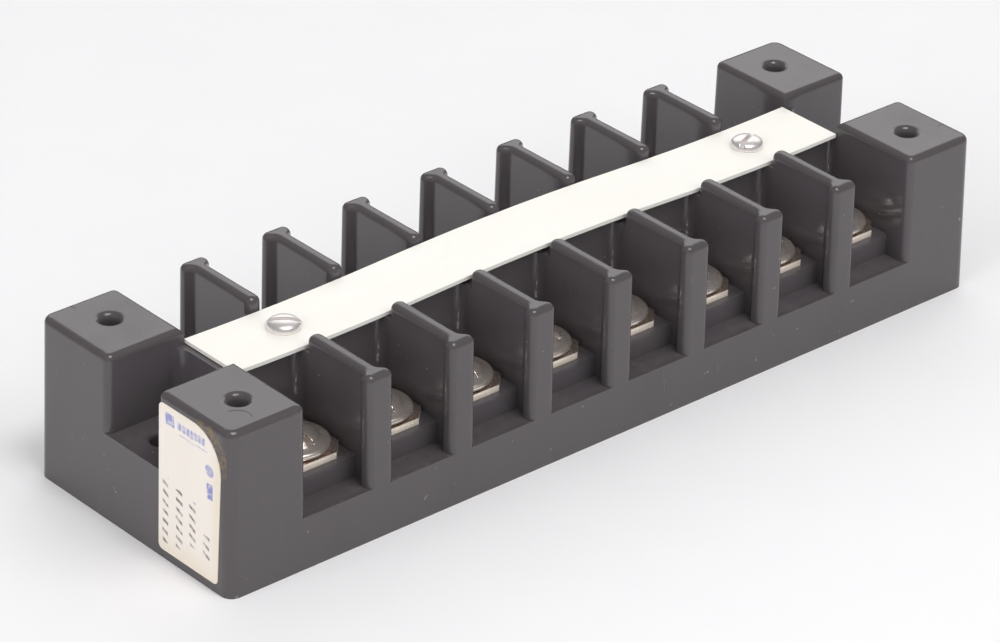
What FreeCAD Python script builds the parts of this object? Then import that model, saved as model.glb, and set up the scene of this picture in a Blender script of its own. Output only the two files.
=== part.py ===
import FreeCAD, Part
import os
import Sketcher

# Double-row barrier terminal strip, eight poles.
# Millimetres. The block's length is along X and its width along Y, and it stands on Z = 0.
# The origin is the middle of the underside. The near row is at -Y, and pole 1 is at -X.

SIZES = {
    # Poles
    "poles": 8,
    "pitch": 20.64,
    # Moulded block
    "end_length": 16.64,
    "block_width": 60.3,
    "block_height": 35.7,
    "side_draft": 1.0,
    "block_corner_radius": 2.5,
    # End posts, and the channel between each pair
    "post_overlap": 2.26,
    "post_corner_radius": 1.6,
    "post_top_radius": 1.4,
    "channel_width": 15.5,
    "channel_floor": 18.8,
    "channel_end_web": 0.9,
    "channel_corner_radius": 2.5,
    # Wire pockets, spine and barriers
    "ledge_height": 11.4,
    "ledge_edge_radius": 1.0,
    "platform_height": 16.2,
    "platform_setback": 5.95,
    "spine_width": 12.8,
    "spine_height": 32.2,
    "root_radius": 2.0,
    "post_root_radius": 1.3,
    "barrier_thickness": 3.4,
    "barrier_end_gap": 17.2,
    "barrier_end_radius": 1.6,
    "barrier_top_radius": 1.4,
    "column_width": 6.35,
    "column_depth": 2.8,
    "column_corner_radius": 1.45,
    # Holes for mounting and for a cover
    "mount_hole_inset": 8.2,
    "mount_hole_diameter": 5.6,
    "mount_rim_width": 1.0,
    "cover_hole_inset": 10.3,
    "cover_hole_diameter": 3.7,
    "cover_hole_depth": 12.0,
    # Terminal bars
    "bar_width": 15.8,
    "bar_thickness": 1.4,
    "bar_reach": 22.9,
    "bar_corner_clip": 3.1,
    "bar_slot_gap": 0.1,
    "collar_diameter": 7.2,
    "collar_length": 2.6,
    "collar_well_diameter": 8.0,
    "collar_well_depth": 3.2,
    # Terminal screws
    "screw_offset": 15.8,
    "screw_diameter": 4.75,
    "screw_fit_gap": 0.04,
    "screw_length": 9.5,
    "screw_head_diameter": 10.2,
    "screw_head_rim": 1.1,
    "screw_head_height": 3.2,
    "screw_slot_width": 1.3,
    "screw_slot_depth": 1.5,
    "screw_well_diameter": 5.6,
    "screw_well_depth": 11.0,
    # Marker strip and its screws
    "strip_width": 16.2,
    "strip_thickness": 0.8,
    "strip_length": 160.0,
    "strip_bow": 1.4,
    "marker_screw_spacing": 123.84,
    "marker_screw_diameter": 3.4,
    "marker_screw_length": 9.5,
    "marker_head_diameter": 6.7,
    "marker_head_rim": 0.5,
    "marker_head_height": 2.4,
    "marker_slot_width": 1.1,
    "marker_slot_depth": 1.2,
    # Rating label on the end of the near post
    "label_thickness": 0.12,
    "label_base": 1.3,
    "label_width": 17.5,
    "label_height": 32.6,
    "label_side_height": 22.0,
    "label_curve_radius": 18.0,
    "label_corner_radius": 1.4,
}

doc = FreeCAD.newDocument("barrier_terminal_strip")
sheet = doc.addObject("Spreadsheet::Sheet", "sizes")
for row, (alias, value) in enumerate(SIZES.items(), 1):
    sheet.set("A%d" % row, alias)
    sheet.set("B%d" % row, str(value))
    sheet.setAlias("B%d" % row, alias)
doc.recompute()

# Places that follow from the driving sizes
HALF_LENGTH = "(poles * pitch / 2 + end_length)"
HALF_WIDTH = "(block_width / 2)"
BEYOND = "(block_width / 2 + 2)"
POST_FACE = "(poles * pitch / 2 - post_overlap)"
CHANNEL_END = "(poles * pitch / 2 - post_overlap + channel_end_web)"
CHANNEL_SIDE = "(channel_width / 2)"
SPINE_SIDE = "(spine_width / 2)"
RISER = "(block_width / 2 - platform_setback)"
BARRIER_END = "(barrier_end_gap / 2)"
FIRST_POLE = "((1 - poles) * pitch / 2)"
SECOND_POLE = "((3 - poles) * pitch / 2)"
BAR_TOP = "(platform_height + bar_thickness)"


def bound(expression):
    """The expression with each size name pointing at its cell of the sheet."""
    text = ""
    word = ""
    for letter in str(expression) + " ":
        if letter.isalnum() or letter == "_":
            word += letter
        else:
            text += "sizes." + word if word in SIZES else word
            text += letter
            word = ""
    return text.strip()


def number(expression):
    return float(sheet.evalExpression(bound(expression).replace("sizes.", "")))


def new_body(name):
    body = doc.addObject("PartDesign::Body", name)
    body.Label = name
    return body


def origin_part(body, role):
    return next(item for item in body.Origin.OriginFeatures if item.Role == role)


def new_sketch(body, name, plane, height):
    sketch = body.newObject("Sketcher::SketchObject", name)
    sketch.AttachmentSupport = [(origin_part(body, plane), "")]
    sketch.MapMode = "FlatFace"
    sketch.setExpression("AttachmentOffset.Base.z", bound(height))
    return sketch


def pin_side(sketch, geometry, point, kind, expression):
    """One dimension, DistanceX or DistanceY, from the origin to a point of the sketch."""
    size = number(expression)
    ends = (-1, 1, geometry, point) if size >= 0 else (geometry, point, -1, 1)
    index = sketch.addConstraint(Sketcher.Constraint(kind, *ends, abs(size)))
    sign = "" if size >= 0 else "-1 * "
    sketch.setExpression("Constraints[%d]" % index, bound("%s(%s)" % (sign, expression)))


def pin_point(sketch, geometry, point, x, y):
    """Ties a point of the sketch to the origin by two dimensions."""
    pin_side(sketch, geometry, point, "DistanceX", x)
    pin_side(sketch, geometry, point, "DistanceY", y)


def outline(body, name, points, plane="XY_Plane", height="0"):
    """A closed outline of straight sides through corners given as pairs of expressions."""
    sketch = new_sketch(body, name, plane, height)
    spots = [FreeCAD.Vector(number(x), number(y), 0) for x, y in points]
    count = len(spots)
    for index in range(count):
        sketch.addGeometry(Part.LineSegment(spots[index], spots[(index + 1) % count]))
    for index in range(count):
        sketch.addConstraint(Sketcher.Constraint("Coincident", index, 2, (index + 1) % count, 1))
    for index, (x, y) in enumerate(points):
        pin_point(sketch, index, 1, x, y)
    return sketch


def box_outline(body, name, x_low, x_high, y_low, y_high, height="0"):
    corners = [(x_low, y_low), (x_high, y_low), (x_high, y_high), (x_low, y_high)]
    return outline(body, name, corners, height=height)


def circle(body, name, x, y, diameter, height="0"):
    sketch = new_sketch(body, name, "XY_Plane", height)
    centre = FreeCAD.Vector(number(x), number(y), 0)
    sketch.addGeometry(Part.Circle(centre, FreeCAD.Vector(0, 0, 1), number(diameter) / 2))
    pin_point(sketch, 0, 3, x, y)
    index = sketch.addConstraint(Sketcher.Constraint("Diameter", 0, number(diameter)))
    sketch.setExpression("Constraints[%d]" % index, bound(diameter))
    return sketch


def pad(body, name, sketch, length, taper=None):
    feature = body.newObject("PartDesign::Pad", name)
    feature.Profile = sketch
    feature.setExpression("Length", bound(length))
    if taper:
        feature.setExpression("TaperAngle", bound(taper))
    doc.recompute()
    return feature


def cut(body, name, sketch, depth, upward=True, midplane=False):
    """A pocket from the sketch's plane; it fails when nothing is cut."""
    before = body.Tip.Shape.Volume
    feature = body.newObject("PartDesign::Pocket", name)
    feature.Profile = sketch
    feature.setExpression("Length", bound(depth))
    feature.Reversed = upward
    feature.Midplane = midplane
    doc.recompute()
    if not feature.Shape.Volume < before - 0.001:
        raise RuntimeError(name + " cuts nothing")
    return feature


def pattern(body, name, features, steps):
    """Repeats features: a step is (spacing, count) along X or the role of a mirror plane."""
    before = body.Tip.Shape.Volume
    transforms = []
    for step in steps:
        if isinstance(step, str):
            part = doc.addObject("PartDesign::Mirrored", name + "_mirror")
            body.addObject(part)
            part.MirrorPlane = (origin_part(body, step), [""])
        else:
            part = doc.addObject("PartDesign::LinearPattern", name + "_row")
            body.addObject(part)
            part.Direction = (origin_part(body, "X_Axis"), [""])
            part.Mode = "Spacing"
            part.setExpression("Offset", bound(step[0]))
            part.setExpression("Occurrences", bound(step[1]))
        transforms.append(part)
    feature = body.newObject("PartDesign::MultiTransform", name)
    feature.Originals = features
    feature.Transformations = transforms
    body.Tip = feature
    doc.recompute()
    if abs(feature.Shape.Volume - before) < 0.001:
        raise RuntimeError(name + " changes nothing")
    return feature


def rounded(body, name, radius, chosen, kind="Fillet"):
    """Rounds or chamfers every edge so far for which chosen(edge's box) is true."""
    base = body.Tip
    edges = ["Edge%d" % index for index, edge in enumerate(base.Shape.Edges, 1) if chosen(edge.BoundBox)]
    if not edges:
        raise RuntimeError(name + " finds no edge")
    feature = body.newObject("PartDesign::" + kind, name)
    feature.Base = (base, edges)
    feature.setExpression("Size" if kind == "Chamfer" else "Radius", bound(radius))
    doc.recompute()
    return feature


def near(value, target, slack=0.05):
    return abs(value - target) < slack


def upright(box):
    return box.ZLength > 1 and box.ZLength > 10 * max(box.XLength, box.YLength)


# Housing

housing = new_body("housing")

# Block, tapered on every side so that it leaves its mould
plan = box_outline(housing, "block_plan", "0 - " + HALF_LENGTH, HALF_LENGTH, "0 - " + HALF_WIDTH, HALF_WIDTH)
pad(housing, "block", plan, "block_height", "0 - side_draft")
rounded(housing, "block_corners", "block_corner_radius",
        lambda box: upright(box) and near(abs(box.Center.x), number(HALF_LENGTH), 1))

# Trough for the marker strip along the top, between the posts and between the two rows of barriers
plan = box_outline(housing, "trough_plan", "0 - " + POST_FACE, POST_FACE,
                   "0 - " + BARRIER_END, BARRIER_END, "spine_height")
cut(housing, "trough", plan, "block_height - spine_height")


def pocket_plan(name, pole, left_post, inner, height):
    """One wire pocket's plan: it narrows at its mouth, where the barriers end in columns."""
    wall = "(pitch / 2 - barrier_thickness / 2)"
    mouth = "(pitch / 2 - column_width / 2)"
    narrow = "(column_depth - block_width / 2)"
    flare = "(column_depth - block_width / 2 + column_width / 2 - barrier_thickness / 2)"
    right = [
        (pole + " + " + mouth, "0 - " + BEYOND),
        (pole + " + " + mouth, narrow),
        (pole + " + " + wall, flare),
        (pole + " + " + wall, "0 - " + inner),
    ]
    left = [
        (pole + " - " + wall, "0 - " + inner),
        (pole + " - " + wall, flare),
        (pole + " - " + mouth, narrow),
        (pole + " - " + mouth, "0 - " + BEYOND),
    ]
    if left_post:
        left = [("0 - " + POST_FACE, "0 - " + inner), ("0 - " + POST_FACE, "0 - " + BEYOND)]
    return outline(housing, name, right + left, height=height)


# Pockets: a platform for the terminal bar and, in front of it, a lower ledge for the wires
clear = "block_height"
platform = cut(housing, "platform", pocket_plan("platform_plan", SECOND_POLE, False, SPINE_SIDE,
                                                "platform_height"), clear)
ledge = cut(housing, "ledge", pocket_plan("ledge_plan", SECOND_POLE, False, RISER, "ledge_height"), clear)
pattern(housing, "pockets", [platform, ledge], [("pitch", "poles - 2"), "XZ_Plane"])
platform = cut(housing, "end_platform", pocket_plan("end_platform_plan", FIRST_POLE, True, SPINE_SIDE,
                                                    "platform_height"), clear)
ledge = cut(housing, "end_ledge", pocket_plan("end_ledge_plan", FIRST_POLE, True, RISER, "ledge_height"),
            clear)
pattern(housing, "end_pockets", [platform, ledge], ["YZ_Plane", "XZ_Plane"])

# Channel between each pair of posts, deep at the end and shallow where it meets the trough
plan = box_outline(housing, "channel_plan", CHANNEL_END, HALF_LENGTH + " + 1",
                   "0 - " + CHANNEL_SIDE, CHANNEL_SIDE, "channel_floor")
channel = cut(housing, "channel", plan, clear)
plan = box_outline(housing, "sill_plan", POST_FACE + " - 1", CHANNEL_END + " + 3",
                   "0 - " + CHANNEL_SIDE, CHANNEL_SIDE, "spine_height")
sill = cut(housing, "sill", plan, clear)
pattern(housing, "channels", [channel, sill], ["YZ_Plane"])

# Wells under the bars for the screws and for the collars that they are threaded into
plan = circle(housing, "collar_well_plan", FIRST_POLE, "0 - screw_offset", "collar_well_diameter",
              "platform_height")
collar_well = cut(housing, "collar_well", plan, "collar_well_depth", upward=False)
plan = circle(housing, "screw_well_plan", FIRST_POLE, "0 - screw_offset", "screw_well_diameter",
              "platform_height")
screw_well = cut(housing, "screw_well", plan, "screw_well_depth", upward=False)
pattern(housing, "wells", [collar_well, screw_well], [("pitch", "poles"), "XZ_Plane"])

# Holes for the marker screws, for a cover's screws and for mounting
plan = circle(housing, "marker_hole_plan", "0 - marker_screw_spacing / 2", "0", "marker_screw_diameter + 0.1",
              "spine_height")
marker_hole = cut(housing, "marker_hole", plan, "marker_screw_length", upward=False)
plan = circle(housing, "cover_hole_plan", "cover_hole_inset - " + HALF_LENGTH, "cover_hole_inset - " + HALF_WIDTH,
              "cover_hole_diameter", "block_height")
cover_hole = cut(housing, "cover_hole", plan, "cover_hole_depth", upward=False)
plan = circle(housing, "mount_hole_plan", "mount_hole_inset - " + HALF_LENGTH, "0", "mount_hole_diameter",
              "channel_floor")
mount_hole = cut(housing, "mount_hole", plan, "channel_floor", upward=False)
pattern(housing, "screw_holes", [marker_hole, cover_hole, mount_hole], ["YZ_Plane", "XZ_Plane"])
# Mould radii on the upright edges
post_x = number(POST_FACE)
side_y = number(HALF_WIDTH)
column_y = side_y - number("column_depth")
spine_y = number(SPINE_SIDE)


def at_root(box):
    return upright(box) and near(abs(box.Center.y), spine_y) and box.ZMax < number("spine_height") + 0.1


def at_channel_corner(box):
    return upright(box) and near(abs(box.Center.x), number(CHANNEL_END)) and near(
        abs(box.Center.y), number(CHANNEL_SIDE))


def at_column(box):
    inside = abs(box.Center.x) < post_x - 1
    return upright(box) and inside and column_y - 2 < abs(box.Center.y) < side_y + 0.1


def at_barrier_end(box):
    inside = abs(box.Center.x) < post_x - 1
    return upright(box) and inside and near(abs(box.Center.y), number(BARRIER_END))


def at_post(box):
    outer = abs(box.Center.x) > post_x - 0.1
    side = near(abs(box.Center.y), side_y, 0.8) and near(abs(box.Center.x), post_x)
    end = near(abs(box.Center.y), number(CHANNEL_SIDE)) and abs(box.Center.x) > number(HALF_LENGTH) - 1
    return upright(box) and outer and (side or end)


rounded(housing, "root_rounds", "root_radius", lambda box: at_root(box) and abs(box.Center.x) < post_x - 1)
rounded(housing, "post_root_rounds", "post_root_radius",
        lambda box: at_root(box) and near(abs(box.Center.x), post_x))

# Slots that let each terminal bar pass under the spine
bar_half = "(bar_width / 2 + bar_slot_gap)"
bar_end = "(spine_width / 2 + root_radius + 0.4)"
plan = box_outline(housing, "bar_slot_plan", FIRST_POLE + " - " + bar_half, FIRST_POLE + " + " + bar_half,
                   "0 - " + bar_end, bar_end, "platform_height")
slot = cut(housing, "bar_slot", plan, "bar_thickness + bar_slot_gap")
pattern(housing, "bar_slots", [slot], [("pitch", "poles")])


# Mould radii on the other upright edges
rounded(housing, "channel_rounds", "channel_corner_radius", at_channel_corner)
rounded(housing, "column_rounds", "column_corner_radius", at_column)
rounded(housing, "barrier_end_rounds", "barrier_end_radius", at_barrier_end)
rounded(housing, "post_rounds", "post_corner_radius", at_post)

# Top edges
top_z = number("block_height")
rounded(housing, "post_tops", "post_top_radius",
        lambda box: near(box.ZMin, top_z) and abs(box.Center.x) > post_x - 0.1)
rounded(housing, "barrier_tops", "barrier_top_radius",
        lambda box: near(box.ZMin, top_z) and abs(box.Center.x) < post_x - 0.1)

rounded(housing, "mount_rims", "mount_rim_width",
        lambda box: near(box.ZMin, number("channel_floor")) and near(box.ZLength, 0, 0.001)
        and near(box.XLength, number("mount_hole_diameter"), 0.1))


def set_place(body, x, y, z, turn=None):
    """Places a body by sizes; turn is in degrees about Z."""
    for axis, expression in (("x", x), ("y", y), ("z", z)):
        body.setExpression(".Placement.Base." + axis, bound(expression))
    if turn is not None:
        body.setExpression(".Placement.Rotation.Angle", bound(turn))


# Terminal bars: one strip of metal per pole with a threaded collar under each screw

def make_bar(pole):
    body = new_body("terminal_bar_%d" % pole)
    half = "(bar_width / 2)"
    clipped = "(bar_width / 2 - bar_corner_clip)"
    shoulder = "(bar_reach - bar_corner_clip)"
    corners = [
        (clipped, "0 - bar_reach"), (half, "0 - " + shoulder), (half, shoulder), (clipped, "bar_reach"),
        ("0 - " + clipped, "bar_reach"), ("0 - " + half, shoulder),
        ("0 - " + half, "0 - " + shoulder), ("0 - " + clipped, "0 - bar_reach"),
    ]
    pad(body, body.Label + "_strip", outline(body, body.Label + "_plan", corners), "bar_thickness")
    collars = []
    holes = []
    for side in ("0 - ", ""):
        sketch = circle(body, "%s_collar_plan_%d" % (body.Label, len(collars)), "0", side + "screw_offset",
                        "collar_diameter", "0 - collar_length")
        collars.append(pad(body, "%s_collar_%d" % (body.Label, len(collars)), sketch, "collar_length"))
    for side in ("0 - ", ""):
        sketch = circle(body, "%s_hole_plan_%d" % (body.Label, len(holes)), "0", side + "screw_offset",
                        "screw_diameter + 2 * screw_fit_gap", "bar_thickness")
        holes.append(cut(body, "%s_hole_%d" % (body.Label, len(holes)), sketch,
                         "bar_thickness + collar_length", upward=False))
    set_place(body, "(%d - poles / 2 - 0.5) * pitch" % pole, "0", "platform_height")
    return body


# Screws: slotted round heads

def make_screw(name, shank, length, head, rim, height, slot_width, slot_depth):
    """A screw standing on the underside of its head at Z = 0, with its slot along Y."""
    body = new_body(name)
    sketch = new_sketch(body, name + "_profile", "XZ_Plane", "0")
    tip = "(%s / 8)" % shank
    corners = [
        ("0", "0 - " + length), ("%s / 2 - %s" % (shank, tip), "0 - " + length),
        ("%s / 2" % shank, "%s - %s" % (tip, length)), ("%s / 2" % shank, "0"),
        ("%s / 2" % head, "0"), ("%s / 2" % head, rim), ("0", height),
    ]
    spots = [FreeCAD.Vector(number(x), number(y), 0) for x, y in corners]
    for index in range(5):
        sketch.addGeometry(Part.LineSegment(spots[index], spots[index + 1]))
    rise = spots[6].y - spots[5].y
    drop = (spots[5].x ** 2 - rise ** 2) / (2 * rise)
    middle = FreeCAD.Vector(spots[5].x * 0.7071, 0, 0)
    ball = drop + rise
    middle.y = spots[5].y - drop + (ball ** 2 - middle.x ** 2) ** 0.5
    sketch.addGeometry(Part.Arc(spots[5], middle, spots[6]))
    sketch.addGeometry(Part.LineSegment(spots[6], spots[0]))
    for index in range(7):
        following = (index + 1) % 7
        sketch.addConstraint(Sketcher.Constraint("Coincident", index, 2, following, 1))
    sketch.addConstraint(Sketcher.Constraint("PointOnObject", 5, 3, -2))
    for index in range(7):
        pin_point(sketch, index, 1, *corners[index])
    turned = body.newObject("PartDesign::Revolution", name + "_turned")
    turned.Profile = sketch
    turned.ReferenceAxis = (sketch, ["V_Axis"])
    turned.Angle = 360
    doc.recompute()
    plan = box_outline(body, name + "_slot_plan", "0 - %s / 2" % slot_width, "%s / 2" % slot_width,
                       "0 - " + head, head, "%s - %s" % (height, slot_depth))
    cut(body, name + "_slot", plan, slot_depth)
    return body


# Terminal screws: one at each end of every bar, with the slots left at the angles they were tightened to
TURNS = {
    "near": [4, -6, 3, 38, -24, 5, 61, 20],
    "far": [12, -35, 8, 50, -3, 30, -58, 16],
}
for row, side in (("near", "0 - "), ("far", "")):
    for pole, turn in enumerate(TURNS[row], 1):
        screw = make_screw("terminal_screw_%s_%d" % (row, pole), "screw_diameter", "screw_length",
                           "screw_head_diameter", "screw_head_rim", "screw_head_height",
                           "screw_slot_width", "screw_slot_depth")
        screw.Placement.Rotation = FreeCAD.Rotation(FreeCAD.Vector(0, 0, 1), turn)
        set_place(screw, "(%d - poles / 2 - 0.5) * pitch" % pole, side + "screw_offset", BAR_TOP)
for pole in range(1, SIZES["poles"] + 1):
    make_bar(pole)

# Marker strip: thin sheet held down at two points, so that it bows up between them and at its ends
strip = new_body("marker_strip")
HOLD = "(marker_screw_spacing / 2)"
QUARTER = "(marker_screw_spacing / 4)"
BEND = "((%s * %s + strip_bow * strip_bow) / (4 * strip_bow))" % (HOLD, HOLD)
KICK = "(%s - sqrt(%s * %s - (strip_length / 2 - %s) * (strip_length / 2 - %s)))" % (BEND, BEND, BEND, HOLD, HOLD)
sketch = new_sketch(strip, "strip_profile", "XZ_Plane", "0")
END = "(strip_length / 2)"
low = [("0 - " + END, KICK), ("0 - " + QUARTER, "strip_bow / 2"), (QUARTER, "strip_bow / 2"), (END, KICK)]
high = [(x, y + " + strip_thickness") for x, y in reversed(low)]
hold = number(HOLD)
bend = number(BEND)
bow = number("strip_bow")
along = [-number("(%s + %s) / 2" % (END, QUARTER)), 0.0, number("(%s + %s) / 2" % (END, QUARTER))]


def strip_rise(x):
    """Height of the strip's underside above the spine at a distance x from the middle."""
    if abs(x) < number(QUARTER):
        return bow - bend + (bend ** 2 - x ** 2) ** 0.5
    return bend - (bend ** 2 - (abs(x) - hold) ** 2) ** 0.5


def strip_side(points, lift, order):
    for index in range(3):
        start = FreeCAD.Vector(number(points[index][0]), number(points[index][1]), 0)
        end = FreeCAD.Vector(number(points[index + 1][0]), number(points[index + 1][1]), 0)
        middle = FreeCAD.Vector(order * along[index], strip_rise(along[index]) + lift, 0)
        if (middle - start).cross(end - start).z < 0:
            start, end = end, start
        sketch.addGeometry(Part.Arc(start, middle, end))


thick = number("strip_thickness")
strip_side(low, 0, 1)
sketch.addGeometry(Part.LineSegment(FreeCAD.Vector(number(END), number(KICK), 0),
                                    FreeCAD.Vector(number(END), number(KICK) + thick, 0)))
strip_side(high, thick, -1)
sketch.addGeometry(Part.LineSegment(FreeCAD.Vector(-number(END), number(KICK) + thick, 0),
                                    FreeCAD.Vector(-number(END), number(KICK), 0)))
corners = low + high
starts = [1 if sketch.Geometry[index].StartPoint.isEqual(FreeCAD.Vector(number(x), number(y), 0), 0.001) else 2
          for index, (x, y) in enumerate(corners)]
for index, (x, y) in enumerate(corners):
    following = (index + 1) % len(corners)
    sketch.addConstraint(Sketcher.Constraint("Coincident", index, 3 - starts[index], following, starts[following]))
for index, (x, y) in enumerate(corners):
    pin_point(sketch, index, starts[index], x, y)
for index, x in ((0, "0 - " + HOLD), (2, HOLD), (4, HOLD), (6, "0 - " + HOLD)):
    pin_side(sketch, index, 3, "DistanceX", x)
pin_side(sketch, 1, 3, "DistanceY", "strip_bow - " + BEND)
pin_side(sketch, 5, 3, "DistanceY", "strip_bow + strip_thickness - " + BEND)
doc.recompute()
sheet_pad = pad(strip, "strip_sheet", sketch, "strip_width")
sheet_pad.Midplane = True
doc.recompute()
for name, side in (("strip_hole_left", "0 - "), ("strip_hole_right", "")):
    plan = circle(strip, name + "_plan", side + HOLD, "0", "marker_screw_diameter + 0.3", "0 - 1")
    cut(strip, name, plan, "strip_thickness + strip_bow + 2")
set_place(strip, "0", "0", "spine_height")

# Marker screws
for name, side, turn in (("left", "0 - ", 47.0), ("right", "", -12.0)):
    screw = make_screw("marker_screw_" + name, "marker_screw_diameter", "marker_screw_length",
                       "marker_head_diameter", "marker_head_rim", "marker_head_height",
                       "marker_slot_width", "marker_slot_depth")
    screw.Placement.Rotation = FreeCAD.Rotation(FreeCAD.Vector(0, 0, 1), turn)
    set_place(screw, side + HOLD, "0", "spine_height + strip_thickness")

# Rating label: paper stuck to the sloping end of the near left post, with its upper corner torn off in a curve
label = new_body("rating_label")
sketch = new_sketch(label, "label_outline", "YZ_Plane", "0")
edge = "(channel_width / 2 + post_corner_radius)"
corners = [
    ("0 - " + edge, "label_base"), ("0 - " + edge, "label_base + label_height"),
    ("0 - %s - label_width" % edge, "label_base + label_side_height"), ("0 - %s - label_width" % edge, "label_base"),
]
spots = [FreeCAD.Vector(number(x), number(y), 0) for x, y in corners]
chord = spots[2] - spots[1]
across = FreeCAD.Vector(chord.y, -chord.x, 0).normalize()
curve = number("label_curve_radius")
sagitta = curve - (curve ** 2 - (chord.Length / 2) ** 2) ** 0.5
middle = (spots[1] + spots[2]) / 2 + across * sagitta * (1 if across.y > 0 else -1)
sketch.addGeometry(Part.LineSegment(spots[0], spots[1]))
sketch.addGeometry(Part.Arc(spots[1], middle, spots[2]))
sketch.addGeometry(Part.LineSegment(spots[2], spots[3]))
sketch.addGeometry(Part.LineSegment(spots[3], spots[0]))
for index in range(4):
    sketch.addConstraint(Sketcher.Constraint("Coincident", index, 2, (index + 1) % 4, 1))
for index, (x, y) in enumerate(corners):
    pin_point(sketch, index, 1, x, y)
index = sketch.addConstraint(Sketcher.Constraint("Radius", 1, curve))
sketch.setExpression("Constraints[%d]" % index, bound("label_curve_radius"))
doc.recompute()
paper = pad(label, "label_paper", sketch, "label_thickness")
paper.Reversed = True
doc.recompute()
rounded(label, "label_corners", "label_corner_radius",
        lambda box: near(box.XLength, number("label_thickness"), 0.001) and box.YLength < 0.001
        and box.ZLength < 0.001 and box.ZMin < number("label_base") + 0.01)
label.Placement.Rotation = FreeCAD.Rotation(FreeCAD.Vector(0, 1, 0), number("side_draft"))
label.setExpression(".Placement.Rotation.Angle", bound("side_draft"))
set_place(label, "0 - " + HALF_LENGTH, "0", "0")

# Check every piece and write one file for each
doc.recompute()
for item in doc.Objects:
    if "Invalid" in item.State or "Error" in item.State:
        raise RuntimeError(item.Label + " is " + str(item.State))
os.makedirs("parts", exist_ok=True)
for body in doc.findObjects("PartDesign::Body"):
    shape = body.Shape
    if shape.isNull() or not shape.isValid() or len(shape.Solids) != 1:
        raise RuntimeError(body.Label + " is not one sound solid")
    shape.exportStep("parts/%s.step" % body.Label)
    box = shape.BoundBox
    print(body.Label, len(shape.Faces), round(shape.Volume, 1),
          [round(value, 2) for value in (box.XMin, box.XMax, box.YMin, box.YMax, box.ZMin, box.ZMax)])
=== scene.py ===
import bmesh
import bpy
import math
from mathutils import Matrix, Vector


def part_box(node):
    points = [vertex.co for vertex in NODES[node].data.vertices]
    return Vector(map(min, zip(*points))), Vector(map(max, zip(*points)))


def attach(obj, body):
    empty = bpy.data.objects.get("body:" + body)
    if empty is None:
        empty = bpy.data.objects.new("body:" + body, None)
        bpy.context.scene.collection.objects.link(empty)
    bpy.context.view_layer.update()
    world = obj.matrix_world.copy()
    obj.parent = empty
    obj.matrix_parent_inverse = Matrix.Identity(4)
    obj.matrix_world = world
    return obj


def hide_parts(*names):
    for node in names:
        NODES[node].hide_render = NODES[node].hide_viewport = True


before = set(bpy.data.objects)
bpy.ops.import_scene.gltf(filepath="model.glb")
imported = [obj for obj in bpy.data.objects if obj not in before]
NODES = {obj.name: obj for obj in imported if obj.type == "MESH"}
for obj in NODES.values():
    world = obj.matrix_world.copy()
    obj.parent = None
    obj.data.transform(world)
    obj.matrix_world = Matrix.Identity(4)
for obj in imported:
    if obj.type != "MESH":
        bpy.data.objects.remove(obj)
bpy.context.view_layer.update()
MM = 0.001
POLES = 8

# Where the block's outer faces begin, in millimetres. A mask goes from 0 to 1 between the two numbers
SIDE_FACES, END_FACES, TOP_FACES = (28.4, 29.4), (97.0, 98.2), (33.8, 34.8)
BELOW_TOPS, ON_TOPS, ON_LABEL_END = (33.0, 30.0), (35.2, 35.5), (-98.3, -98.5)


# Material building: masks are in millimetres, noise in metres

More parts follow.
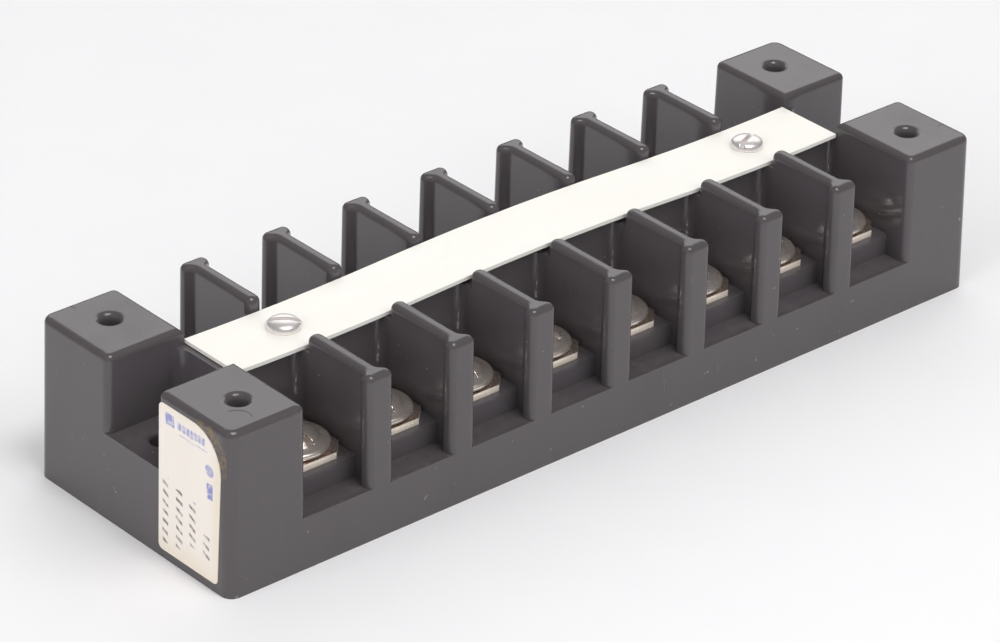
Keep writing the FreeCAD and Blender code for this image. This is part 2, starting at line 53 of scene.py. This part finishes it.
class Mat:
    """A material with its node tree and short ways to add nodes."""

    def __init__(self, name):
        self.mat = bpy.data.materials.new(name)
        self.mat.use_nodes = True
        self.tree = self.mat.node_tree
        self.tree.nodes.clear()
        self.out = self.node("OutputMaterial")
        self.shader = self.node("BsdfPrincipled")
        self.feed(self.out.inputs[0], self.shader.outputs[0])
        self.coord = self.node("TexCoord")

    def node(self, kind, inputs=None, **settings):
        """A new node. Its inputs go by name or number, and each gets a value or another node's socket."""
        made = self.tree.nodes.new("ShaderNode" + kind)
        for key, value in settings.items():
            setattr(made, key, value)
        for key, value in (inputs or {}).items():
            self.feed(made.inputs[key], value)
        return made

    def feed(self, socket, value):
        """Link a socket to another or set its value; a colour gets its fourth part here."""
        if isinstance(value, bpy.types.NodeSocket):
            self.tree.links.new(value, socket)
        elif isinstance(value, (int, float)):
            socket.default_value = value
        else:
            socket.default_value = (*value, 1)[:len(socket.default_value)]

    def place(self, scale=(1, 1, 1), offset=(0, 0, 0), turn=(0, 0, 0)):
        """The object's own coordinates, in metres, scaled, turned and shifted."""
        return self.node("Mapping", {"Scale": scale, "Location": offset, "Rotation": turn,
                                     "Vector": self.coord.outputs["Object"]}).outputs[0]

    def axes(self):
        """X, Y and Z in millimetres."""
        return tuple(self.node("SeparateXYZ", {0: self.place((1000, 1000, 1000))}).outputs)

    def upward(self):
        """1 where a face looks up and -1 where it looks down."""
        return self.node("SeparateXYZ", {0: self.node("NewGeometry").outputs["Normal"]}).outputs[2]

    def noise(self, scale, detail=3, rough=0.5, stretch=(1, 1, 1), offset=(0, 0, 0), turn=(0, 0, 0)):
        return self.node("TexNoise", {"Scale": scale, "Detail": detail, "Roughness": rough,
                                      "Vector": self.place(stretch, offset, turn)}).outputs["Fac"]

    def step(self, value, low, high):
        """0 below low and 1 above high; the other way round where low is above high."""
        ends = (0.0, 1.0) if low < high else (1.0, 0.0)
        return self.node("MapRange", {0: value, "From Min": min(low, high), "From Max": max(low, high),
                                      "To Min": ends[0], "To Max": ends[1]},
                         interpolation_type="SMOOTHSTEP").outputs[0]

    def mix(self, share, first, second):
        """Two colours mixed; sockets 6, 7 and 2 are the node's colour sockets."""
        return self.node("Mix", {0: share, 6: first, 7: second}, data_type="RGBA").outputs[2]

    def calc(self, kind, *values):
        """The outcome of a Math node."""
        return self.node("Math", dict(enumerate(values)), operation=kind).outputs[0]

    def chain(self, kind, values):
        """A Math node for each value after the first, one behind the other."""
        result = values[0]
        for value in values[1:]:
            result = self.calc(kind, result, value)
        return result

    def total(self, *values):
        return self.chain("ADD", values)

    def times(self, *values):
        return self.chain("MULTIPLY", values)

    def either(self, *values):
        return self.chain("MAXIMUM", values)

    def minus(self, first, second):
        return self.calc("SUBTRACT", first, second)

    def size(self, value):
        return self.calc("ABSOLUTE", value)

    def away(self, x, y, spot):
        """Distance in millimetres from a spot in the plane of two coordinates."""
        dx, dy = self.minus(x, spot[0]), self.minus(y, spot[1])
        return self.calc("SQRT", self.total(self.times(dx, dx), self.times(dy, dy)))

    def block(self, x, y, low, high, soft=0.12):
        """1 inside a rectangle with soft edges."""
        sides = []
        for value, start, end in ((x, low[0], high[0]), (y, low[1], high[1])):
            sides += [self.step(value, start - soft, start + soft), self.step(value, end + soft, end - soft)]
        return self.times(*sides)

    def bump(self, height, strength, distance):
        made = self.node("Bump", {"Strength": strength, "Distance": distance, "Height": height})
        self.feed(self.shader.inputs["Normal"], made.outputs[0])

    def set(self, **values):
        """Feeds the shader's inputs; an underscore stands for a space in their names."""
        for key, value in values.items():
            self.feed(self.shader.inputs[key.replace("_", " ")], value)


def shade(colour, factor):
    return [part * factor for part in colour]


# Arcs that screws have pressed into the post tops: middle and radius. The label's torn corner likewise
PRESSED_ARCS = (((-93.4, -25.2), 2.9), ((-94.4, 27.4), 2.7), ((96.9, -24.6), 2.6))
TORN_MIDDLE, TORN_RADIUS = (-18.7, 25.3), 9.8


def moulding():
    """Moulded black, glossy in the pockets and duller on the outer faces, which carry a painted shade darker
    than the pockets, with the traces of use.
    """
    black, outer_painted_shade, flow_mark = (0.098, 0.088, 0.095), (0.086, 0.077, 0.082), (0.072, 0.063, 0.064)
    dust_grey, pale_speck, scuff_grey = (0.16, 0.135, 0.12), (0.36, 0.33, 0.29), (0.15, 0.135, 0.135)
    pressed, old_glue = (0.012, 0.011, 0.012), (0.24, 0.165, 0.065)
    m = Mat("moulding")
    x, y, z = m.axes()
    cloud = m.noise(34, 4, 0.55)
    flow = m.noise(60, 5, 0.6, (1, 1, 0.22), (3, 1, 2))
    fine = m.noise(1100, 3, 0.6)
    # Painted shade: the outer faces take a darker black than the pockets, to even out how the light falls;
    # their added roughness is the dullness of handling
    outer_wear_and_painted_shade = m.either(m.step(m.size(y), *SIDE_FACES), m.step(m.size(x), *END_FACES), m.step(z, *TOP_FACES))
    base = m.mix(cloud, shade(black, 0.84), shade(black, 1.18))
    base = m.mix(m.times(outer_wear_and_painted_shade, m.total(0.72, m.times(cloud, 0.4))), base, outer_painted_shade)
    base = m.mix(m.times(m.step(flow, 0.50, 0.75), 0.30), base, flow_mark)

    # Dust on what lies level, and pale specks, both mostly below the tops
    low = m.step(z, *BELOW_TOPS)
    dust = m.times(m.step(m.upward(), 0.90, 0.99), low, m.step(m.noise(210, 5, 0.65), 0.42, 0.75), 0.35)
    base = m.mix(dust, base, dust_grey)
    specks = m.either(m.step(m.noise(1500, 2, 0.6), 0.735, 0.775),
                      m.times(m.step(m.noise(620, 2, 0.5, offset=(1, 2, 3)), 0.745, 0.77), 0.8))
    base = m.mix(m.times(specks, m.total(m.times(low, 0.45), 0.05)), base, pale_speck)

    # Grey scuffs, in patches, and a few dark arcs on the post tops
    scuffs = m.times(m.step(m.noise(420, 3, 0.7, (1, 1, 0.12), (0, 4, 1)), 0.60, 0.74),
                     m.step(m.noise(26, 3, 0.5, offset=(5, 0, 2)), 0.52, 0.62), 0.20)
    base = m.mix(scuffs, base, scuff_grey)
    arcs = []
    for spot, radius in PRESSED_ARCS:
        ring = m.step(m.size(m.minus(m.away(x, y, spot), radius)), 0.26, 0.08)
        broken = m.step(m.noise(300, 1, 0.5, offset=(spot[0], 0, 0)), 0.42, 0.50)
        middle = spot[0] + spot[1]
        arcs.append(m.times(ring, broken, m.step(m.total(x, y), middle + 0.6, middle + 1.8)))
    arcs = m.times(m.either(*arcs), m.step(z, *ON_TOPS))
    base = m.mix(m.times(arcs, 0.85), base, pressed)

    # Old glue round the torn corner of the label
    torn = m.size(m.minus(m.away(y, z, TORN_MIDDLE), TORN_RADIUS))
    glue = m.times(m.step(x, *ON_LABEL_END), m.step(torn, 1.9, 0.7), m.step(y, -19.0, -22.0),
                   m.step(z, 25.0, 28.0), m.step(m.noise(330, 4, 0.6), 0.34, 0.56))
    base = m.mix(m.times(glue, 0.85), base, old_glue)
    rough = m.total(0.09, m.times(outer_wear_and_painted_shade, 0.07), m.times(m.step(flow, 0.45, 0.8), 0.10),
                    m.times(fine, 0.05), m.times(dust, 0.35), m.times(glue, 0.25), m.times(scuffs, 0.5))
    m.set(Base_Color=base, Roughness=rough, IOR=1.52)
    relief = m.total(cloud, m.times(fine, 0.035), m.times(scuffs, -0.05), m.times(arcs, -0.25))
    m.bump(relief, strength=0.35, distance=0.25 * MM)
    return m.mat


def nickel(name, pale, dark, gloss, metal, side_reflection=None):
    """Nickel plate, tarnished and spotted; the last argument gives a bar's upright sides a painted
    reflection: a brighter cream colour, with less metal.
    """
    m = Mat(name)
    cloud = m.noise(230, 4, 0.6)
    haze = m.noise(70, 3, 0.5, offset=(2, 3, 1))
    spots = m.step(m.noise(1500, 3, 0.6), 0.62, 0.72)
    base = m.mix(m.step(cloud, 0.3, 0.7), pale, dark)
    base = m.mix(m.times(m.step(haze, 0.4, 0.7), 0.35), base, shade(dark, 0.72))
    base = m.mix(m.times(spots, 0.45), base, shade(dark, 0.45))
    if side_reflection:
        # Painted reflection: the upright sides get the bright cream colour and lose some metal
        side = m.step(m.size(m.upward()), 0.75, 0.45)
        base = m.mix(side, base, side_reflection)
        metal = m.total(metal, m.times(side, -0.6))
    rough = m.total(gloss, m.times(cloud, 0.12), m.times(spots, 0.2))
    m.set(Base_Color=base, Metallic=metal, Roughness=rough)
    grain = m.times(m.noise(2400, 3, 0.6), 0.5)
    wave = m.times(m.noise(300, 3, 0.5, (1, 1, 4)), 0.5)
    m.bump(m.total(grain, wave), strength=0.12, distance=0.08 * MM)
    return m.mat


def strip_white():
    """The marker strip's cream-white sheet: smooth, a little stained, with a few rubs and specks."""
    clean, cream = (0.93, 0.915, 0.865), (0.90, 0.875, 0.81)
    stained, rubbed, speckled = (0.78, 0.72, 0.62), (0.80, 0.78, 0.74), (0.40, 0.36, 0.30)
    m = Mat("strip")
    cloud = m.noise(30, 4, 0.55, (1, 3, 1))
    stain = m.step(m.noise(85, 5, 0.65, offset=(4, 2, 0)), 0.62, 0.85)
    rubs = m.times(m.step(m.noise(500, 3, 0.6, (0.06, 1, 1), turn=(0, 0, 0.35)), 0.64, 0.76), 0.5)
    specks = m.step(m.noise(1700, 2, 0.5), 0.745, 0.78)
    base = m.mix(cloud, clean, cream)
    base = m.mix(m.times(stain, 0.35), base, stained)
    base = m.mix(m.times(rubs, 0.35), base, rubbed)
    base = m.mix(m.times(specks, 0.5), base, speckled)
    m.set(Base_Color=base, Roughness=m.total(0.38, m.times(cloud, 0.12), m.times(rubs, 0.2)), IOR=1.48)
    relief = m.total(m.noise(55, 3, 0.5), m.times(m.noise(1300, 3, 0.6), 0.06))
    m.bump(relief, strength=0.18, distance=0.2 * MM)
    return m.mat


# The label's marks, in millimetres: u runs from the block's middle to its near side, and v is the height
LABEL_SQUARE = (10.6, 30.0), (13.2, 32.3)
LABEL_BAR = (14.0, 30.2), (22.6, 31.8)
LABEL_LINE = (14.6, 29.1), (23.2, 29.4)
LABEL_SHORT = (23.2, 19.6), (24.8, 22.8)
LABEL_DISC = (23.9, 25.6)
# Columns of pen strokes: middle, half width, lower end, upper end
LABEL_COLUMNS = ((10.6, 0.85, 3.8, 18.2), (14.8, 0.95, 4.4, 17.2),
                 (18.9, 0.95, 6.6, 16.8), (23.2, 0.9, 5.6, 11.2))


def paper_label():
    """Paper: cream, yellower at its edges, with plain marks in blue ink and short grey pen strokes."""
    pale, cream, aged = (0.98, 0.925, 0.875), (0.95, 0.88, 0.80), (0.86, 0.75, 0.56)
    fibrous, blue_ink, grey_pen = (0.62, 0.54, 0.44), (0.16, 0.21, 0.60), (0.12, 0.09, 0.10)
    m = Mat("paper_label")
    y, z = m.axes()[1:]

    def wavering(value, noise):
        """A coordinate that wanders a little, so that no mark has a ruled edge."""
        return m.total(value, m.times(m.minus(noise, 0.5), 0.9))

    u = wavering(m.times(y, -1.0), m.noise(260, 2, 0.5))
    v = wavering(z, m.noise(240, 2, 0.5, offset=(1, 7, 3)))
    fibre = m.noise(1700, 4, 0.7, (1, 1, 0.4))
    base = m.mix(m.noise(80, 4, 0.6), pale, cream)
    old = m.either(m.step(z, 7.5, 1.5), m.step(y, -23.0, -27.0), m.times(m.step(z, 30.5, 34.0), 0.6))
    base = m.mix(m.times(old, 0.5), base, aged)
    base = m.mix(m.times(fibre, 0.12), base, fibrous)

    ink = m.step(m.noise(900, 3, 0.6), 0.36, 0.56)
    hatch = m.step(m.calc("SINE", m.times(u, 5.2)), -0.5, 0.3)
    square = m.times(m.block(u, v, *LABEL_SQUARE), 0.9)
    bar = m.times(m.block(u, v, *LABEL_BAR), m.total(0.35, m.times(hatch, 0.5)))
    line = m.times(m.block(u, v, *LABEL_LINE), 0.5)
    disc = m.times(m.step(m.away(u, v, LABEL_DISC), 1.35, 1.1), 0.75)
    short = m.block(u, v, *LABEL_SHORT)
    blue = m.times(m.either(square, bar, line, disc, short), m.total(0.45, m.times(ink, 0.55)))
    base = m.mix(m.times(blue, 0.85), base, blue_ink)

    dashes = m.step(m.calc("SINE", m.times(m.total(v, m.times(u, 0.45)), 3.0)), 0.30, 0.62)
    strokes = [m.times(m.block(u, v, (middle - half, low), (middle + half, high)), dashes)
               for middle, half, low, high in LABEL_COLUMNS]
    pen = m.times(m.either(*strokes), m.total(0.45, m.times(ink, 0.5)))
    base = m.mix(m.times(pen, 0.85), base, grey_pen)
    m.set(Base_Color=base, Roughness=0.72)
    relief = m.total(m.times(fibre, 0.5), m.noise(60, 3, 0.5, offset=(3, 3, 3)))
    m.bump(relief, strength=0.22, distance=0.15 * MM)
    return m.mat


DRESS = {
    "housing": moulding(),
    "marker_strip": strip_white(),
    "marker_screw": nickel("marker_screw", (0.96, 0.92, 0.91), (0.86, 0.81, 0.79), gloss=0.28, metal=0.7),
    "terminal_screw": nickel("terminal_screw", (0.90, 0.82, 0.76), (0.70, 0.62, 0.56), gloss=0.22,
                             metal=0.8),
    # The bar's upright sides carry a painted reflection in bright cream
    "terminal_bar": nickel("terminal_bar", (0.84, 0.70, 0.60), (0.62, 0.50, 0.41), gloss=0.20, metal=0.9,
                           side_reflection=(1.0, 0.90, 0.78)),
    "rating_label": paper_label(),
}
for name, obj in NODES.items():
    material = next(made for start, made in DRESS.items() if name.startswith(start))
    obj.data.materials.clear()
    obj.data.materials.append(material)


def bevel(obj, width, segments, angle):
    """Rounds an object's edges that turn by more than an angle in degrees."""
    edge = obj.modifiers.new("edges", "BEVEL")
    edge.width = width
    edge.segments = segments
    edge.limit_method = "ANGLE"
    edge.angle_limit = math.radians(angle)
    edge.use_clamp_overlap = False


# The solids leave some edges sharp, which mould and shears would round
bevel(NODES["housing"], width=0.5 * MM, segments=3, angle=62)
for pole in range(1, POLES + 1):
    bevel(NODES["terminal_bar_%d" % pole], width=0.12 * MM, segments=3, angle=62)


def linked(name, data):
    """A new object in the scene."""
    obj = bpy.data.objects.new(name, data)
    bpy.context.scene.collection.objects.link(obj)
    return obj


def mesh_from(shape, name):
    """A mesh with the faces of a shape under construction."""
    mesh = bpy.data.meshes.new(name)
    shape.to_mesh(mesh)
    return mesh


SHARP = math.radians(32)                # Edges that turn by more than this show as edges


def mesh_piece(name, mesh, body, slot, material, *nodes):
    """A new piece that rides on a body and stands for CAD nodes."""
    for face in mesh.polygons:
        face.use_smooth = True
    mesh.set_sharp_from_angle(angle=SHARP)
    mesh.materials.clear()
    mesh.materials.append(material)
    obj = linked(name, mesh)
    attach(obj, body)
    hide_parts(*nodes)


ROUND = 80                              # Corners of a turned ring
SAW_LENGTH, SAW_HEIGHT = 40, 10         # The cutter of a screw's slot reaches past its head
SEAT_GAP = 0.02                         # Keeps a head's underside a hair off its seat


def turned(profile):
    """A closed turned shape from (radius, height) pairs."""
    shape = bmesh.new()
    angles = [2 * math.pi * n / ROUND for n in range(ROUND)]
    rings = [[shape.verts.new((radius * math.cos(angle), radius * math.sin(angle), height))
              for angle in (angles if radius else angles[:1])] for radius, height in profile]
    for low, high in zip(rings, rings[1:]):
        for n in range(ROUND):
            after = (n + 1) % ROUND
            if len(low) == 1:
                shape.faces.new((low[0], high[after], high[n]))
            elif len(high) == 1:
                shape.faces.new((low[n], low[after], high[0]))
            else:
                shape.faces.new((low[n], low[after], high[after], high[n]))
    return shape


def turned_screw(profile, slot, turn, place):
    """A turned mesh, in millimetres until it is placed, with a slot (width, bottom) sawn across its head."""
    width, bottom = slot
    shape = turned(profile)
    blank = linked("head_blank", mesh_from(shape, "head_blank"))
    shape.clear()
    bmesh.ops.create_cube(shape, size=1, matrix=Matrix.Translation((0, 0, bottom + SAW_HEIGHT / 2))
                          @ Matrix.Diagonal((width, SAW_LENGTH, SAW_HEIGHT, 1)))
    saw = linked("head_saw", mesh_from(shape, "head_saw"))
    shape.free()
    sawn = blank.modifiers.new("slot", "BOOLEAN")
    sawn.object = saw
    sawn.operation = "DIFFERENCE"
    sawn.solver = "EXACT"
    bevel(blank, width=0.14, segments=2, angle=50)
    bpy.context.view_layer.update()
    result = bpy.data.meshes.new_from_object(blank.evaluated_get(bpy.context.evaluated_depsgraph_get()))
    result.name = "head"
    turned_by = Matrix.Rotation(math.radians(turn), 4, "Z")
    result.transform(Matrix.Translation(place) @ turned_by @ Matrix.Scale(MM, 4))
    for obj in (blank, saw):
        bpy.data.objects.remove(obj)
    return result


def shank(tip, radius, point, taper):
    """A screw's profile from its tip, which is point in radius, up to its head."""
    return [(0, tip), (point, tip), (radius, tip + taper), (radius, SEAT_GAP)]


def above(low, high, seat):
    """The middle of a box seen from above, at the height of a seat."""
    return Vector(((low[0] + high[0]) / 2, (low[1] + high[1]) / 2, seat))


# Terminal screws: wide low domes with an undercut edge and one slot each, turned as they were left
TURNS = {"near": [4, -6, 3, 38, -24, 5, 61, 20], "far": [12, -35, 8, 50, -3, 30, -58, 16]}
TERMINAL_SLOT = (1.4, 2.1)
RIM = [(6.1, SEAT_GAP), (6.9, 0.45), (7.15, 0.75), (7.2, 1.0), (7.2, 1.2)]
CROWN = [(7.14, 1.42), (6.95, 1.62), (6.6, 1.74), (6.0, 1.86), (5.5, 1.98), (5.15, 2.12), (4.9, 2.32),
         (4.7, 2.56), (4.4, 2.82), (4.0, 3.02), (3.4, 3.2), (2.6, 3.34), (1.6, 3.43), (0.8, 3.47), (0, 3.48)]
for row, turns in TURNS.items():
    for pole, turn in enumerate(turns, 1):
        name = "terminal_screw_%s_%d" % (row, pole)
        low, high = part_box(name)
        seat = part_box("terminal_bar_%d" % pole)[1][2]
        profile = shank((low[2] - seat) / MM, radius=2.35, point=1.9, taper=0.5) + RIM + CROWN
        head = turned_screw(profile, TERMINAL_SLOT, turn, above(low, high, seat))
        mesh_piece("screw_%s_%d" % (row, pole), head, name, "terminal_screw", DRESS["terminal_screw"], name)

# Screws of the marker strip, with higher round heads
HEAD_HEIGHT = 2.4 * MM                  # From the solid's seat to its top
MARKER_SLOT = (0.95, 0.9)
COLLAR = [(3.2, SEAT_GAP), (3.38, 0.15), (3.42, 0.6)]
DOME_RADIUS, DOME_FOOT, DOME_RISE = 3.38, 0.72, 1.25
FULLNESS = 0.6                          # 1 would make the dome an ellipse, less makes it squarer
DOME = [(DOME_RADIUS * math.cos(math.radians(angle)) ** FULLNESS if angle < 90 else 0,
         DOME_FOOT + DOME_RISE * math.sin(math.radians(angle))) for angle in range(0, 91, 9)]
for side, turn in (("left", 51), ("right", -66)):
    name = "marker_screw_" + side
    low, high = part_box(name)
    seat = high[2] - HEAD_HEIGHT
    profile = shank((low[2] - seat) / MM, radius=1.5, point=1.2, taper=0.4) + COLLAR + DOME
    head = turned_screw(profile, MARKER_SLOT, turn, above(low, high, seat))
    mesh_piece("strip_screw_" + side, head, "block", "marker_screw", DRESS["marker_screw"], name)


# Rating label: a sheet with one torn, curved corner, lying on the slope of the post's end
LEFT, RIGHT, BOTTOM, TOP = 8.45, 27.2, 1.9, 33.9
PAPER = 0.12                            # Thickness
CORNER, TORN = 1.2, 8.5                 # Radii
INSET = 0.6                             # The lower near corner lies this much further in
ARC_STEPS = 12
# The corners' middles, radii and first angles, anticlockwise from the torn one
CORNERS = (((RIGHT - TORN, TOP - TORN), TORN, 0), ((LEFT + CORNER, TOP - CORNER), CORNER, 90),
           ((LEFT + CORNER, BOTTOM + CORNER), CORNER, 180),
           ((RIGHT - CORNER - INSET, BOTTOM + CORNER), CORNER, 270))


def label_mesh():
    """The sheet as a thin closed body, its inner side on the post's end."""
    outline = []
    for middle, radius, start in CORNERS:
        for n in range(ARC_STEPS + 1):
            angle = math.radians(start + n * 90 / ARC_STEPS)
            outline.append((middle[0] + radius * math.cos(angle), middle[1] + radius * math.sin(angle)))
    cad_low, cad_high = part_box("rating_label")
    slope = (cad_high[0] - cad_low[0] - PAPER * MM) / (cad_high[2] - cad_low[2])
    shape = bmesh.new()
    sheets = []
    for lift in (0.0, PAPER):
        sheets.append([shape.verts.new((cad_low[0] + PAPER * MM + (v * MM - cad_low[2]) * slope - lift * MM,
                                        -u * MM, v * MM)) for u, v in outline])
        shape.faces.new(sheets[-1][::-1] if lift else sheets[-1])
    inner, outer = sheets
    for n in range(len(outline)):
        after = (n + 1) % len(outline)
        shape.faces.new((inner[n], inner[after], outer[after], outer[n]))
    bmesh.ops.recalc_face_normals(shape, faces=shape.faces)
    result = mesh_from(shape, "label_sheet")
    shape.free()
    return result


mesh_piece("label_sheet", label_mesh(), "block", "paper_label", DRESS["rating_label"], "rating_label")


# Setting: a white table, of which glossy faces see only the part near the block; past it they see a dim room
HALF_TABLE = 4                          # In metres
SEEN_AROUND = (380, 520)                # In millimetres from the block's middle
TABLE_PALE, TABLE_PALER, DIM_ROOM = (0.885, 0.875, 0.89), (0.915, 0.91, 0.92), (0.10, 0.10, 0.11)


def table():
    mesh = bpy.data.meshes.new("table")
    corners = [(-HALF_TABLE, -HALF_TABLE, 0), (HALF_TABLE, -HALF_TABLE, 0), (HALF_TABLE, HALF_TABLE, 0),
               (-HALF_TABLE, HALF_TABLE, 0)]
    mesh.from_pydata(corners, [], [(0, 1, 2, 3)])
    obj = linked("table", mesh)
    m = Mat("table_top")
    m.set(Base_Color=m.mix(m.noise(46, 4, 0.6), TABLE_PALE, TABLE_PALER), Roughness=0.85)
    m.shader.inputs["Specular IOR Level"].default_value = 0.1
    x, y = m.axes()[:2]
    far = m.step(m.away(x, y, (0, 0)), *SEEN_AROUND)
    mirrored = m.times(far, m.node("LightPath").outputs["Is Glossy Ray"])
    dim = m.node("Emission", {"Color": DIM_ROOM})
    choice = m.node("MixShader", {0: mirrored, 1: m.shader.outputs[0], 2: dim.outputs[0]})
    m.feed(m.out.inputs[0], choice.outputs[0])
    obj.data.materials.append(m.mat)
    return obj


table()


def area_light(name, place, size, radiance, glossy=True, diffuse=True):
    """A rectangular lamp aimed at the object; radiance is how bright a mirror shows it."""
    data = bpy.data.lights.new(name, "AREA")
    data.shape = "RECTANGLE"
    data.size, data.size_y = size
    data.energy = radiance * math.pi * size[0] * size[1]
    obj = linked(name, data)
    obj.location = place
    obj.rotation_euler = (-Vector(place)).to_track_quat("-Z", "Y").to_euler()
    obj.visible_glossy = glossy
    obj.visible_diffuse = diffuse


LAMP = (-0.09, -0.46, 1.22)
area_light("lamp", LAMP, (0.38, 0.34), 10.5, glossy=False)
area_light("lamp_glint", LAMP, (0.50, 0.46), 17, diffuse=False)
area_light("window", (0.93, 1.04, 0.82), (1.9, 0.80), 1.5)
area_light("front_fill", (0.35, -1.0, 0.9), (0.9, 0.9), 2.0, glossy=False)
area_light("left_fill", (-1.2, -0.1, 0.7), (0.8, 0.8), 2.7, glossy=False)

# Light from all round: its strength for the rays that light things, for mirrored rays and for the camera's
AROUND, MIRRORED, BEHIND = 0.46, 0.14, 1.0
world = bpy.data.worlds.new("studio")
bpy.context.scene.world = world
world.use_nodes = True
tree = world.node_tree
tree.nodes.clear()
output = tree.nodes.new("ShaderNodeOutputWorld")
path = tree.nodes.new("ShaderNodeLightPath")


def glow(strength):
    """White light from every side."""
    ground = tree.nodes.new("ShaderNodeBackground")
    ground.inputs["Color"].default_value = (1, 1, 1, 1)
    ground.inputs["Strength"].default_value = strength
    return ground.outputs[0]


shader = glow(AROUND)
for strength, ray in ((MIRRORED, "Is Glossy Ray"), (BEHIND, "Is Camera Ray")):
    choice = tree.nodes.new("ShaderNodeMixShader")
    for socket, source in zip(choice.inputs, (path.outputs[ray], shader, glow(strength))):
        tree.links.new(source, socket)
    shader = choice.outputs[0]
tree.links.new(shader, output.inputs[0])

# Camera: fitted to the block's edges, with its place in metres and its directions right, up and back
LENS, SENSOR = 169.8, 36
PLACE = (-0.56126, -0.61990, 0.47973)
RIGHTWARD, UPWARD, BACKWARD = ((0.753402, -0.657128, 0.023819), (0.304980, 0.381294, 0.872698),
                               (-0.582557, -0.650228, 0.487679))
camera_data = bpy.data.cameras.new("camera")
camera_data.lens = LENS
camera_data.sensor_width = SENSOR
camera = linked("camera", camera_data)
turn = Matrix((RIGHTWARD, UPWARD, BACKWARD)).transposed().to_4x4()
camera.matrix_world = Matrix.Translation(PLACE) @ turn
bpy.context.scene.camera = camera
bpy.context.scene.view_settings.view_transform = "Standard"
